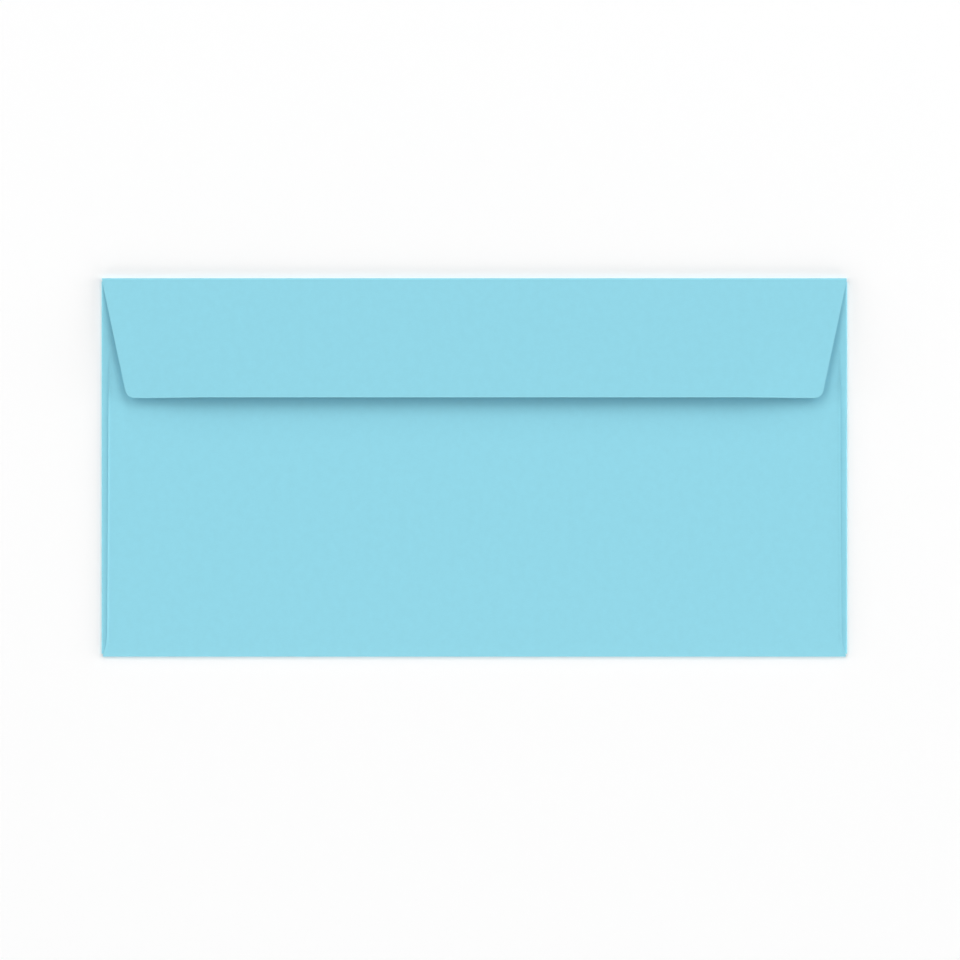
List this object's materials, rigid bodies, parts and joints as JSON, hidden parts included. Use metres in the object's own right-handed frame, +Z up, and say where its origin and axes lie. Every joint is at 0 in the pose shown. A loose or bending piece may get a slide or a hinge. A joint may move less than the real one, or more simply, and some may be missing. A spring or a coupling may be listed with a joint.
{
  "type": "paper envelope",
  "caption": "Plain light blue wallet envelope of coloured paper, folded from one sheet, lying closed but unsealed with its seal flap sprung slightly open.",
  "frame": {"origin": "middle of the footprint, on the underside of the front panel", "axes": "+X along the bottom edge, +Y towards the fold of the seal flap, +Z up, out of the back panel"},
  "size_m": [0.2194, 0.1114, 0.0052],
  "materials": {
    "dyed_paper": "uncoated sky blue paper, dyed through"
  },
  "bodies": {
    "root": {"envelope": "dyed_paper"}
  },
  "joints": []
}
